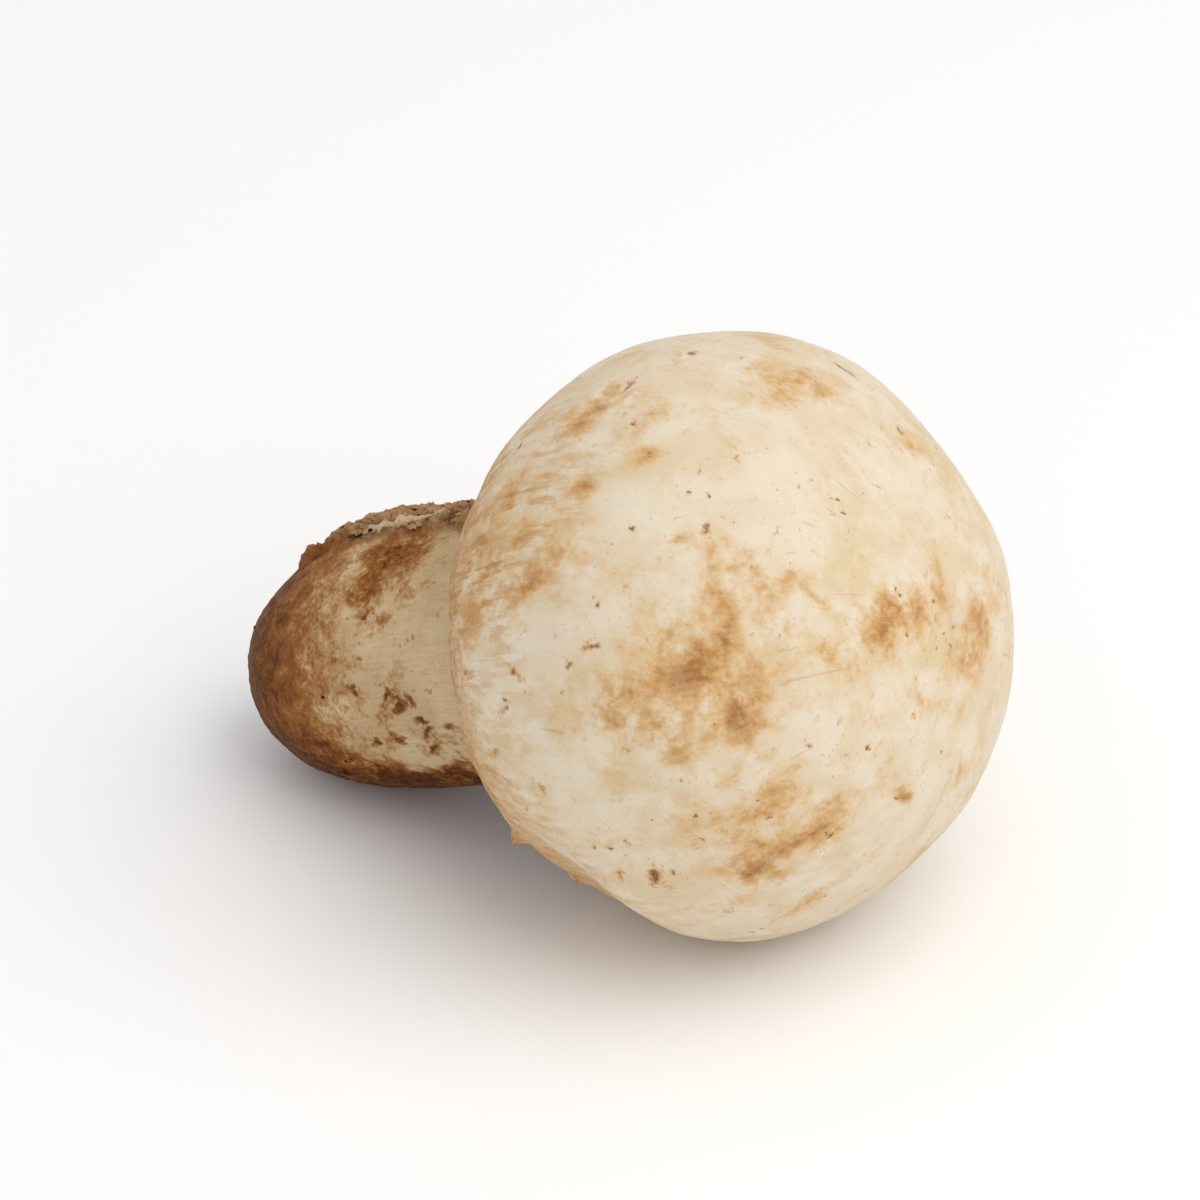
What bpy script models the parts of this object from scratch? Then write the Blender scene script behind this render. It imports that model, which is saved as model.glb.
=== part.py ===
"""Button mushroom with a closed cap, lying on its side as picked.

The mushroom grew as one piece, so it is one solid: a domed cap, an inrolled
margin, the shallow ring of gill edges behind it, and a stout stem that ends in
a blunt round foot with a torn crust on one side.

The shape is worked out in the growth frame, with its origin in the middle of
the cap's widest ring and +Z through the crown.  Azimuth 0 is the side that
ends up on top.  The finished mushroom is tipped over to lie on the side of the
cap and on the foot of the stem, and both places are cut flat where it rests.
"""

import math

import bmesh
import bpy
from mathutils import Matrix, Vector

# Driving dimensions, in metres and degrees.
CAP_RADIUS = 0.0249
DOME_HEIGHT = 0.0222
MARGIN_POLAR = 130.5
LIP_RADIUS = 0.0016
GILL_FLOOR_Z = -0.0115
GILL_FILLET = 0.0012
FILLET_MIDDLE = 1.0 - math.sqrt(0.5)
STEM_RADIUS = 0.0114
STEM_FADE_RADIUS = 0.0149
STEM_END = 0.0486
FOOT_LENGTH = 0.0195
FOOT_POWER = 2.3
FOOT_LEAN = 0.0010
REST_TILT = 21.4
FLAT_DEPTH = 0.0004

# Fineness of the turned shape.
SCREW_STEPS = 72
CAP_STEPS = 18
LIP_STEPS = 5
STEM_STEPS = 7
FOOT_STEPS = 9

# Broad hollows in the cap's skin: azimuth, polar angle, depth and the widths
# of each along azimuth and along the polar angle.
CAP_HOLLOWS = (
    (126.0, 112.0, 0.0019, 20.0, 12.0),
    (168.0, 60.0, 0.0009, 26.0, 15.0),
    (290.0, 48.0, 0.0008, 30.0, 15.0),
)

# The torn crust on the stem: the middle and half width of its spread round the
# stem, the depths over which it rises and falls away, and how far it stands out.
CRUST_AZIMUTH = 314.0
CRUST_HALF_WIDTH = 54.0
CRUST_SIDE_FADE = 16.0
CRUST_RISE = (0.0215, 0.0275)
CRUST_FALL = (0.0395, 0.0420)
CRUST_HEIGHT = 0.0012

OBJECT_NAME = "mushroom"
COLLECTION_NAME = "button_mushroom"
FLESH_COLOR = (0.78, 0.66, 0.47, 1.0)
FLESH_ROUGHNESS = 0.62


def clear_scene():
    for old in list(bpy.data.objects):
        bpy.data.objects.remove(old, do_unlink=True)


def smoothstep(low, high, value):
    """0 below low, 1 above high, and a smooth rise between them."""
    share = min(max((value - low) / (high - low), 0.0), 1.0)
    return share * share * (3.0 - 2.0 * share)


def turn_between(first, second):
    """The signed turn in degrees from second to first, within half a circle."""
    return (first - second + 180.0) % 360.0 - 180.0


def cap_points():
    """The dome's outside, from the crown down to the margin."""
    points = []
    for step in range(CAP_STEPS + 1):
        polar = math.radians(MARGIN_POLAR * step / CAP_STEPS)
        points.append((CAP_RADIUS * math.sin(polar), DOME_HEIGHT * math.cos(polar)))
    return points


def lip_points():
    """The rolled margin, from the dome's edge round to the gill side."""
    polar = math.radians(MARGIN_POLAR)
    edge_x = CAP_RADIUS * math.sin(polar)
    edge_z = DOME_HEIGHT * math.cos(polar)
    outward = Vector((DOME_HEIGHT * math.sin(polar), CAP_RADIUS * math.cos(polar))).normalized()
    start = math.atan2(outward.y, outward.x)
    centre = Vector((edge_x, edge_z)) - LIP_RADIUS * outward
    points = []
    for step in range(1, LIP_STEPS + 1):
        angle = start + (-math.pi - start) * step / LIP_STEPS
        points.append((centre.x + LIP_RADIUS * math.cos(angle),
                       centre.y + LIP_RADIUS * math.sin(angle)))
    return points


def gill_points(lip_inner):
    """The ring of gill edges between the margin and the stem."""
    corner = FILLET_MIDDLE * GILL_FILLET
    return [
        (lip_inner - corner, GILL_FLOOR_Z - corner),
        (lip_inner - GILL_FILLET, GILL_FLOOR_Z),
        (STEM_RADIUS + GILL_FILLET, GILL_FLOOR_Z),
        (STEM_RADIUS + corner, GILL_FLOOR_Z - corner),
    ]


def stem_points():
    """The stem's side and its blunt foot, down to the tip on the axis."""
    points = []
    foot_start = STEM_END - FOOT_LENGTH
    stem_top = -GILL_FLOOR_Z + GILL_FILLET
    for step in range(STEM_STEPS):
        depth = stem_top + (foot_start - stem_top) * step / STEM_STEPS
        points.append((STEM_RADIUS, -depth))
    for step in range(FOOT_STEPS + 1):
        angle = 0.5 * math.pi * step / FOOT_STEPS
        along = math.sin(angle) ** (2.0 / FOOT_POWER)
        across = math.cos(angle) ** (2.0 / FOOT_POWER)
        points.append((STEM_RADIUS * across, -(foot_start + FOOT_LENGTH * along)))
    points[-1] = (0.0, -STEM_END)
    return points


def profile_points():
    cap = cap_points()
    lip = lip_points()
    return cap + lip + gill_points(lip[-1][0]) + stem_points()


def turned_mesh():
    """The profile turned about the axis, as a plain mesh."""
    points = [(x, 0.0, z) for x, z in profile_points()]
    edges = [(index, index + 1) for index in range(len(points) - 1)]
    profile = bpy.data.meshes.new("profile")
    profile.from_pydata(points, edges, [])
    turned = bpy.data.objects.new("profile", profile)
    bpy.context.scene.collection.objects.link(turned)
    screw = turned.modifiers.new("turn", "SCREW")
    screw.axis = "Z"
    screw.angle = 2.0 * math.pi
    screw.steps = SCREW_STEPS
    screw.render_steps = SCREW_STEPS
    screw.use_merge_vertices = True
    screw.merge_threshold = 0.00001
    evaluated = turned.evaluated_get(bpy.context.evaluated_depsgraph_get())
    mesh = bpy.data.meshes.new_from_object(evaluated)
    bpy.data.objects.remove(turned, do_unlink=True)
    return mesh


def cap_swell(azimuth, polar):
    """The cap's size at one place on its skin, as a share of the plain dome."""
    size = 1.0
    for centre, middle, depth, azimuth_width, polar_width in CAP_HOLLOWS:
        across = turn_between(azimuth, centre) / azimuth_width
        along = (polar - middle) / polar_width
        size -= depth / CAP_RADIUS * math.exp(-across * across - along * along)
    return size


def crust_height(azimuth, depth):
    """How far the torn crust stands out from the stem's side."""
    across = abs(turn_between(azimuth, CRUST_AZIMUTH))
    sides = 1.0 - smoothstep(CRUST_HALF_WIDTH - CRUST_SIDE_FADE, CRUST_HALF_WIDTH, across)
    rise = smoothstep(*CRUST_RISE, depth)
    fall = 1.0 - smoothstep(*CRUST_FALL, depth)
    return CRUST_HEIGHT * sides * rise * fall


def shaped(point):
    """One point of the turned shape, moved to where it grew."""
    azimuth = math.degrees(math.atan2(point.y, point.x))
    radius = math.hypot(point.x, point.y)
    depth = -point.z
    on_stem = 0.0
    if depth > 0.0:
        on_stem = 1.0 - smoothstep(STEM_RADIUS + GILL_FILLET, STEM_FADE_RADIUS, radius)
    polar = math.degrees(math.atan2(radius / CAP_RADIUS, point.z / DOME_HEIGHT))
    size = 1.0 + (cap_swell(azimuth, polar) - 1.0) * (1.0 - on_stem)
    size += on_stem * crust_height(azimuth, depth) / STEM_RADIUS
    lean = FOOT_LEAN * on_stem * smoothstep(STEM_END - FOOT_LENGTH, STEM_END, depth)
    height = point.z * (size if depth < 0.0 or on_stem == 0.0 else 1.0)
    return Vector((point.x * size - lean, point.y * size, height))


def rest_matrix():
    """Tips the growth frame over, with azimuth 0 ending up on top."""
    tilt = math.radians(REST_TILT)
    return Matrix((
        (-math.sin(tilt), 0.0, math.cos(tilt)),
        (0.0, -1.0, 0.0),
        (math.cos(tilt), 0.0, math.sin(tilt)),
    ))


def rested(mesh):
    """Lays the shaped mushroom down and cuts the places it lies on flat."""
    tip = rest_matrix()
    shape = bmesh.new()
    shape.from_mesh(mesh)
    for vert in shape.verts:
        vert.co = tip @ shaped(vert.co)
    floor = min(vert.co.z for vert in shape.verts) + FLAT_DEPTH
    everything = shape.verts[:] + shape.edges[:] + shape.faces[:]
    bmesh.ops.bisect_plane(
        shape, geom=everything, plane_co=(0.0, 0.0, floor), plane_no=(0.0, 0.0, -1.0),
        clear_outer=True,
    )
    rims = [edge for edge in shape.edges if edge.is_boundary]
    bmesh.ops.holes_fill(shape, edges=rims, sides=0)
    bmesh.ops.recalc_face_normals(shape, faces=shape.faces)
    middle = [
        0.5 * (min(vert.co[axis] for vert in shape.verts)
               + max(vert.co[axis] for vert in shape.verts))
        for axis in (0, 1)
    ]
    bmesh.ops.translate(shape, verts=shape.verts, vec=(-middle[0], -middle[1], -floor))
    shape.to_mesh(mesh)
    shape.free()


def flesh_material():
    material = bpy.data.materials.new("mushroom_flesh")
    material.use_nodes = True
    surface = material.node_tree.nodes["Principled BSDF"]
    surface.inputs["Base Color"].default_value = FLESH_COLOR
    surface.inputs["Roughness"].default_value = FLESH_ROUGHNESS
    surface.inputs["Metallic"].default_value = 0.0
    return material


def main():
    clear_scene()
    collection = bpy.data.collections.new(COLLECTION_NAME)
    bpy.context.scene.collection.children.link(collection)
    mesh = turned_mesh()
    rested(mesh)
    mesh.name = OBJECT_NAME
    mesh.materials.clear()
    mesh.materials.append(flesh_material())
    mushroom = bpy.data.objects.new(OBJECT_NAME, mesh)
    collection.objects.link(mushroom)
    mesh.shade_smooth()
    mesh.set_sharp_from_angle(angle=math.radians(50.0))


main()
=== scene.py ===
"""Looks of the button mushroom: skin, margin, gills, stem and torn crust.

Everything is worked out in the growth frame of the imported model: its origin is
the middle of the cap's widest ring, +Z runs through the crown, and azimuth 0 is
the side that ends up on top.  A polar angle is counted from the crown, and a
depth along the stem from the origin.  rested() tips the points over to where the
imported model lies.
"""

import math
from itertools import product

import bmesh
import bpy
import numpy as np
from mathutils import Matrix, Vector


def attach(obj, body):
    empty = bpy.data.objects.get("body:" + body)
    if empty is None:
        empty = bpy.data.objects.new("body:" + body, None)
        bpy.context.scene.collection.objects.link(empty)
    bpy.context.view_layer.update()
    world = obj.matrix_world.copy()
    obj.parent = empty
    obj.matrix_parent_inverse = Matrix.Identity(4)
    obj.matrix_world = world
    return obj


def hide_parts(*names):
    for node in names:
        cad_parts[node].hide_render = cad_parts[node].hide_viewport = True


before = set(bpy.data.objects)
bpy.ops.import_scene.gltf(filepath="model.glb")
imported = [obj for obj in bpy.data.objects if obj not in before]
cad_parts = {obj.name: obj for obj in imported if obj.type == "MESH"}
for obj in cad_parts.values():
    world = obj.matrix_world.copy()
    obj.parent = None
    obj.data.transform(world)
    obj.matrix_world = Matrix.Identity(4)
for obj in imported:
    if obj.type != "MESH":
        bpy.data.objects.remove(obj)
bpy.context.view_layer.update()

MM = 0.001
WELD_DISTANCE = 0.002 * MM

# The mushroom's own sizes, in millimetres and degrees, the same as the model's.
CAP_RADIUS = 24.9
DOME_HEIGHT = 22.2
MARGIN_POLAR = 130.5
LIP_RADIUS = 1.6
GILL_EDGE_Z = -11.5
GILL_ROOT_Z = -7.2
STEM_RADIUS = 11.4
STEM_END = 48.6
FOOT_LENGTH = 19.5
FOOT_POWER = 2.3
FOOT_LEAN = 1.0
REST_TILT = 21.4

# Where the growth frame's origin lies in the frame of the model.
CAP_CENTRE = (11.502, 0.0, 24.188)

# Broad hollows in the cap: azimuth, polar angle, depth and the widths of each
# along azimuth and along the polar angle.
CAP_HOLLOWS = (
    (126.0, 112.0, 1.9, 20.0, 12.0),
    (168.0, 60.0, 0.9, 26.0, 15.0),
    (290.0, 48.0, 0.8, 30.0, 15.0),
)

# The torn crust: the middle and half width of its spread round the stem, the
# depths between which it lies, and how far it stands out.
CRUST_AZIMUTH = 314.0
CRUST_HALF_WIDTH = 54.0
CRUST_START = 20.0
CRUST_FINISH = 41.5
CRUST_HEIGHT = 0.9

# Fineness of the grids: columns run round the axis, rows along the skin.
CAP_COLUMNS = 432
DOME_ROWS = 186
LIP_ROWS = 14
STEM_COLUMNS = 344
STEM_ROWS = 236

# How deep into the flesh a spot's colour or relief reaches, in millimetres.
SPOT_DEPTH = 7.0

# Stains on the cap: azimuth, polar angle, half length, half width, turn of the
# length away from the meridian, and strength.
CAP_STAINS = (
    (72, 58, 7.5, 5.5, 20, 0.30),
    (62, 22, 6.0, 4.5, 0, 0.12),
    (115, 57, 6.0, 4.5, -20, 0.30),
    (225, 20, 6.5, 5.0, 0, 0.16),
    (255, 34, 6.0, 4.0, 0, 0.22),
    (350, 58, 5.0, 3.5, 45, 0.28),
    (44, 96, 7.0, 6.0, 0, 0.22),
    (16, 90, 6.0, 3.0, 10, 0.25),
    (64, 53, 3.0, 2.2, 80, 0.75),
    (73, 58, 2.8, 2.4, 0, 0.72),
    (71, 67, 3.2, 1.6, 10, 0.60),
    (76, 48, 2.6, 2.0, -70, 0.72),
    (85, 61, 3.8, 2.2, 0, 0.65),
    (86, 51, 2.2, 1.8, 0, 0.62),
    (80, 80, 2.6, 1.6, 0, 0.45),
    (76, 72, 3.2, 2.6, 0, 0.50),
    (53, 53, 2.8, 1.1, -70, 0.60),
    (41, 62, 1.0, 0.8, 0, 0.85),
    (45, 50, 2.2, 1.6, 0, 0.50),
    (51, 43, 2.0, 1.2, 0, 0.55),
    (47, 38, 0.8, 0.6, 0, 0.80),
    (53, 34, 1.4, 0.6, -65, 0.65),
    (53, 14, 3.4, 2.4, 10, 0.75),
    (69, 20, 3.0, 2.2, 0, 0.65),
    (237, 11, 3.0, 2.2, 0, 0.70),
    (192, 9, 2.2, 2.0, 0, 0.55),
    (74, 30, 3.0, 2.4, 0, 0.35),
    (8, 8, 2.0, 1.4, 0, 0.50),
    (106, 51, 2.4, 2.0, 15, 0.80),
    (122, 54, 4.8, 1.6, -20, 0.80),
    (122, 65, 3.2, 1.1, -30, 0.65),
    (110, 61, 2.8, 1.4, 0, 0.45),
    (146, 34, 1.1, 0.8, 70, 0.90),
    (121, 44, 2.8, 1.4, -30, 0.55),
    (143, 66, 4.2, 1.0, -10, 0.50),
    (139, 16, 4.0, 1.2, 85, 0.35),
    (14, 88, 4.6, 1.0, 15, 0.75),
    (19, 93, 2.4, 1.0, 10, 0.70),
    (26, 73, 1.6, 0.8, 15, 0.85),
    (351, 58, 3.0, 1.7, 45, 0.80),
    (322, 37, 2.4, 1.6, -80, 0.70),
    (336, 75, 3.5, 1.5, -50, 0.50),
    (33, 108, 2.6, 1.0, 10, 0.55),
    (35, 82, 2.2, 1.3, 35, 0.65),
    (44, 114, 3.0, 2.2, 0, 0.60),
    (54, 99, 4.4, 1.0, 0, 0.65),
    (48, 86, 2.4, 1.0, 0, 0.60),
    (58, 113, 2.6, 1.8, 0, 0.55),
    (182, 60, 4.5, 2.4, 30, 0.60),
    (205, 88, 5.0, 1.6, 60, 0.60),
    (228, 64, 3.2, 2.0, -30, 0.70),
    (250, 100, 6.0, 1.4, 5, 0.60),
    (262, 52, 3.6, 2.4, 50, 0.55),
    (286, 84, 4.2, 1.4, -20, 0.60),
    (300, 106, 5.0, 1.2, 0, 0.50),
)

# Small pointed tags of skin near the margin: azimuth, polar angle, height, and
# the half length and half width of the foot of each.
CAP_TAGS = (
    (113.0, 124.0, 1.60, 1.5, 1.1),
    (135.0, 123.0, 0.75, 1.3, 1.2),
    (187.0, 122.0, 0.60, 1.2, 1.1),
    (243.0, 127.0, 0.90, 1.3, 1.2),
    (318.0, 126.0, 0.60, 1.1, 1.3),
)

# Places where the cap has stayed palest, in the same terms as the stains.
CAP_PALE_PLACES = (
    (38, 72, 3.4, 2.6, 20, 0.9),
    (20, 45, 4.4, 2.6, 60, 0.9),
    (352, 30, 3.6, 2.4, 0, 0.8),
    (60, 78, 3.0, 1.8, 0, 0.6),
    (66, 95, 3.0, 2.0, 0, 0.6),
    (98, 88, 4.0, 3.0, 0, 0.7),
    (100, 40, 2.6, 1.8, 0, 0.5),
    (150, 50, 3.0, 2.0, 0, 0.6),
    (215, 45, 5.0, 3.4, 20, 0.7),
    (270, 75, 5.0, 3.0, 60, 0.7),
)

# Where the cap is streaked towards its margin: azimuth, spread and strength.
CAP_STREAKS = (
    (42.0, 22.0, 0.9),
    (120.0, 18.0, 0.5),
    (205.0, 30.0, 0.6),
    (292.0, 36.0, 0.7),
)

# Small dark marks on the cap, where the skin is bruised or nicked.
CAP_MARKS = (
    (113, 124, 0.8, 0.50, 0, 1.0),
    (135, 123, 0.6, 0.40, 0, 0.9),
    (65, 78, 1.0, 0.45, 20, 0.8),
    (68, 84, 0.6, 0.40, -15, 0.8),
    (69, 99, 0.9, 0.35, -40, 0.8),
    (76, 104, 0.9, 0.35, 30, 0.8),
    (61, 95, 0.5, 0.40, 0, 0.9),
    (40, 57, 0.45, 0.40, 0, 1.0),
    (11, 121, 0.5, 0.40, 0, 1.0),
    (355, 79, 0.6, 0.40, 0, 0.9),
    (9, 86, 1.0, 0.35, 80, 0.8),
    (26, 73, 0.8, 0.35, -30, 0.8),
    (329, 58, 1.9, 0.40, 25, 0.8),
    (114, 82, 1.2, 0.60, 60, 1.0),
    (98, 108, 0.8, 0.35, 50, 0.7),
    (112, 90, 0.6, 0.35, 80, 0.9),
    (92, 99, 0.7, 0.35, -50, 0.7),
    (86, 111, 0.7, 0.35, 0, 0.7),
    (235, 95, 0.9, 0.40, 30, 0.8),
    (270, 70, 0.6, 0.40, 0, 0.9),
    (295, 92, 1.1, 0.35, -60, 0.8),
)

# Brown patches on the stem: azimuth, depth, half length, half width, turn of
# the length away from the stem's line, and strength.
STEM_STAINS = (
    (14, 28, 3.6, 1.7, 10, 0.95),
    (23, 28, 2.8, 2.1, 20, 0.90),
    (35, 30, 2.2, 2.2, 0, 0.85),
    (30, 26, 3.0, 2.6, 0, 0.35),
    (48, 27, 0.8, 0.7, 0, 0.60),
    (8, 36, 2.6, 1.2, 0, 0.70),
    (34, 38, 3.0, 2.2, 0, 0.35),
    (92, 28, 5.0, 1.2, 60, 0.45),
    (106, 24, 2.6, 1.2, 10, 0.60),
    (235, 28, 4.0, 2.0, 0, 0.50),
    (250, 34, 3.0, 2.0, 40, 0.60),
    (330, 44, 4.0, 4.0, 90, 0.80),
)

# Small dark marks on the stem, in the same terms.
STEM_MARKS = (
    (81, 27.5, 0.8, 0.35, 60, 1.0),
    (84, 26.6, 0.7, 0.30, -50, 0.9),
    (88, 26.7, 0.9, 0.30, 30, 0.9),
    (84, 25.4, 0.7, 0.30, -40, 0.8),
    (94, 25.1, 0.8, 0.35, 0, 1.0),
    (100, 24.5, 0.8, 0.35, 10, 1.0),
    (110, 25.3, 0.8, 0.40, 40, 1.0),
    (104, 30.6, 0.7, 0.30, 30, 1.0),
    (103, 27.9, 0.5, 0.35, 0, 0.9),
    (98, 22.4, 0.7, 0.35, 0, 0.8),
    (80, 23.1, 0.6, 0.35, -20, 0.6),
    (79, 30.8, 0.35, 0.30, 0, 1.0),
    (48, 29.2, 0.5, 0.35, 60, 0.8),
    (66, 30.0, 0.4, 0.30, 0, 0.7),
    (86, 42.0, 0.5, 0.40, 0, 1.0),
    (210, 30.0, 0.8, 0.40, 20, 0.9),
    (180, 38.0, 0.9, 0.40, -20, 0.9),
    (255, 24.0, 0.7, 0.35, 50, 0.8),
)

# The stem's underside, painted darker both with soil and with the shade that
# falls under it: its middle, its half width near the cap, and how much wider it
# grows towards the foot, in degrees for each millimetre.
UNDER_AZIMUTH = 186.0
UNDER_HALF_WIDTH = 68.0
UNDER_SPREAD = 1.9
UNDER_START = 27.0

# The light fold in the crust: the azimuth and depth of its two ends.
FOLD_ENDS = ((9.0, 33.0), (1.0, 25.0))

# The crescent scar near the margin: its place and its spot.
SCAR_PLACE = (14.0, 90.0)
SCAR_SPOT = (3.4, 1.4, 40.0)

# Gills: the number of full ones, with a short one between each two, the radii
# where the full ones and the short ones begin, and the radius where all end.
GILL_COUNT = 128
GILL_THICKNESS = 0.26
GILL_INNER = 11.9
GILL_SHORT_INNER = (13.2, 14.6)
GILL_OUTER = 16.5

# Flakes and crumbs, and the depths between which crumbs lie on the foot.
FLAKE_COUNT = 60
CRUMB_COUNT = 70
CRUMB_DEPTHS = (34.0, 46.5)

# The veil hangs from a ring inside the rolled margin.
VEIL_COLUMNS = 720
VEIL_ROWS = 9
VEIL_RADIUS = 18.42
VEIL_TOP_Z = -13.62
VEIL_OVERLAP = 0.30
VEIL_THICKNESS = 0.30

# Pointed shreds of the veil: azimuth, length in millimetres, and half width in degrees.
VEIL_TEETH = (
    (158.0, 0.60, 3.0),
    (196.0, 0.90, 2.6),
    (231.0, 0.70, 3.4),
    (262.0, 1.00, 2.4),
    (301.0, 0.70, 3.0),
    (344.0, 0.50, 3.0),
)

# Colours, in linear light.
CREAM = (0.715, 0.585, 0.415, 1.0)
WARM_CREAM = (0.680, 0.530, 0.325, 1.0)
PALE_CREAM = (0.765, 0.675, 0.535, 1.0)
HONEY = (0.665, 0.435, 0.200, 1.0)
OCHRE = (0.545, 0.285, 0.085, 1.0)
DEEP_OCHRE = (0.330, 0.130, 0.028, 1.0)
RIM_BROWN = (0.300, 0.125, 0.032, 1.0)
SPECK_BROWN = (0.150, 0.062, 0.022, 1.0)
SPECK_GREY = (0.230, 0.180, 0.105, 1.0)
# The stem's two beige colours are darker than its own tone: painted shade that falls on it from
# beside it.
STEM_BEIGE_SHADED = (0.560, 0.400, 0.230, 1.0)
STEM_PALE_SHADED = (0.650, 0.495, 0.310, 1.0)
STEM_TAN = (0.400, 0.190, 0.058, 1.0)
STEM_ORANGE = (0.250, 0.080, 0.012, 1.0)
STEM_BROWN = (0.100, 0.028, 0.004, 1.0)
STEM_DARK = (0.034, 0.009, 0.003, 1.0)
# The crust's colours: on its crests the pale one also paints a highlight, and in its crevices the
# dark one also paints shade.
CRUST_TAN = (0.300, 0.160, 0.066, 1.0)
CRUST_PALE = (0.470, 0.290, 0.145, 1.0)
CRUST_DARK = (0.070, 0.022, 0.005, 1.0)
GILL_PINK = (0.470, 0.290, 0.205, 1.0)
GILL_BROWN = (0.270, 0.150, 0.090, 1.0)
FLOOR_COLOR = (0.96, 0.96, 0.96, 1.0)

# How deep light goes into the flesh, in millimetres.
SUBSURFACE_DEPTH = 1.6

# Camera, light and floor. Distances, sizes and the aim are in metres.
CAMERA_AZIMUTH = 31.7
CAMERA_ELEVATION = 32.4
CAMERA_DISTANCE = 0.706
CAMERA_LENS = 258.0
CAMERA_AIM = (-0.001, 0.0, 0.0235)
KEY_AZIMUTH = 88.0
KEY_ELEVATION = 56.0
KEY_DISTANCE = 0.60
KEY_SIZE = 0.60
KEY_WATTS = 1.90
KEY_COLOR = (1.0, 0.98, 0.95)
WORLD_STRENGTH = 0.74
FLOOR_HALF = 3.0


# ---- arithmetic

def ease(low, high, value):
    """0 below low, 1 above high, and a smooth rise between them."""
    share = np.clip((value - low) / (high - low), 0.0, 1.0)
    return share * share * (3.0 - 2.0 * share)


def turn_between(first, second):
    """The signed turn in degrees from second to first, within half a circle."""
    return (first - second + 180.0) % 360.0 - 180.0


def lattice_value(cell, seed):
    """A fixed random number from -1 to 1 for each whole-numbered place."""
    key = cell[..., 0] * 73856093 ^ cell[..., 1] * 19349663 ^ cell[..., 2] * 83492791
    key = (key ^ (seed * 2654435761)) & 0xFFFFFFFF
    key = (key ^ (key >> 15)) * 2246822519 & 0xFFFFFFFF
    key = (key ^ (key >> 13)) * 3266489917 & 0xFFFFFFFF
    return ((key ^ (key >> 16)) & 0xFFFF) / 32767.5 - 1.0


def noise(points, seed):
    """Smooth noise from -1 to 1, with one bump for each unit of distance."""
    cell = np.floor(points).astype(np.int64)
    part = points - cell
    blend = part * part * part * (part * (part * 6.0 - 15.0) + 10.0)
    total = np.zeros(points.shape[:-1])
    for corner in product((0, 1), repeat=3):
        weight = np.ones(points.shape[:-1])
        for axis in range(3):
            side = blend[..., axis]
            weight = weight * (side if corner[axis] else 1.0 - side)
        total += weight * lattice_value(cell + np.array(corner), seed)
    return total


def fractal(points, size, seed, layers=3):
    """Noise whose widest bumps are size across, with finer ones laid over them."""
    total = np.zeros(points.shape[:-1])
    for layer in range(layers):
        total += 0.5 ** layer * noise(points * (2.0 ** layer / size), seed + layer)
    return total


def ridges(points, size, seed, layers=3):
    """Like fractal, but folded into sharp crests, from 0 to about 1."""
    total = np.zeros(points.shape[:-1])
    for layer in range(layers):
        crest = 1.0 - np.abs(noise(points * (2.0 ** layer / size), seed + layer))
        total += 0.5 ** layer * crest ** 2
    return total / (2.0 - 0.5 ** (layers - 1))


def around(radius, azimuth, height):
    """Points at a radius, an azimuth in degrees and a height, in millimetres."""
    angle = np.radians(azimuth)
    shape = np.broadcast(radius, azimuth, height).shape
    return np.stack([
        np.broadcast_to(radius * np.cos(angle), shape),
        np.broadcast_to(radius * np.sin(angle), shape),
        np.broadcast_to(height, shape),
    ], axis=-1)


def ring(columns):
    """Azimuths spread evenly round the axis, as one row."""
    return np.arange(columns)[None, :] * 360.0 / columns


def rested(points):
    """Tips growth-frame points over to where the model lies, flat on the floor."""
    tilt = math.radians(REST_TILT)
    tip = np.array((
        (-math.sin(tilt), 0.0, math.cos(tilt)),
        (0.0, -1.0, 0.0),
        (math.cos(tilt), 0.0, math.sin(tilt)),
    ))
    placed = points @ tip.T + np.array(CAP_CENTRE)
    placed[..., 2] = np.maximum(placed[..., 2], 0.0)
    return placed * MM


# ---- meshes

def quad_faces(rows, columns, closed):
    """Faces of a grid whose rows are closed into rings, or left open."""
    wide = columns if closed else columns - 1
    row = np.arange(rows - 1)[:, None] * columns
    here = np.arange(wide)[None, :]
    after = (here + 1) % columns
    corners = (row + here, row + columns + here, row + columns + after, row + after)
    return np.stack(corners, axis=-1).reshape(-1, 4)


def weld(mesh):
    """Joins the points that lie in one place, such as a grid's rows at a pole."""
    shape = bmesh.new()
    shape.from_mesh(mesh)
    bmesh.ops.remove_doubles(shape, verts=shape.verts, dist=WELD_DISTANCE)
    shape.to_mesh(mesh)
    shape.free()


def build_mesh(name, points, faces, attributes):
    """A smooth mesh piece that rides on the model and carries its attributes."""
    mesh = bpy.data.meshes.new(name)
    mesh.from_pydata(points.reshape(-1, 3), [], faces.tolist())
    for label, values in attributes.items():
        kind, key, shape = "FLOAT", "value", points.shape[:-1]
        if label == "grain":
            kind, key, shape = "FLOAT_VECTOR", "vector", points.shape
        layer = mesh.attributes.new(label, kind, "POINT")
        layer.data.foreach_set(key, np.broadcast_to(values, shape).astype(np.float32).ravel())
    weld(mesh)
    mesh.shade_smooth()
    piece = bpy.data.objects.new(name, mesh)
    bpy.context.scene.collection.objects.link(piece)
    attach(piece, "root")
    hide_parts("mushroom")
    return piece


def build_skin(name, points, attributes):
    """A piece whose rows of points in the growth frame are closed into rings."""
    faces = quad_faces(*points.shape[:2], True)
    return build_mesh(name, rested(points), faces, attributes)


def line_length(radius, height):
    """The distance along a line from its start to each of its points."""
    steps = np.hypot(np.diff(radius), np.diff(height))
    return np.concatenate([[0.0], np.cumsum(steps)])


def even_rows(radius, height, count):
    """The same line, with its points spread evenly along its length."""
    length = line_length(radius, height)
    wanted = np.linspace(0.0, length[-1], count)
    return np.interp(wanted, length, radius), np.interp(wanted, length, height)


def outward(radius, height, azimuth):
    """The outward directions of a turned profile that runs down its outer side."""
    across = np.gradient(radius, axis=0)
    down = np.where(radius < 0.001, 0.0, np.gradient(height, axis=0))
    size = np.hypot(across, down)
    return around(-down / size, azimuth, across / size)


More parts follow.
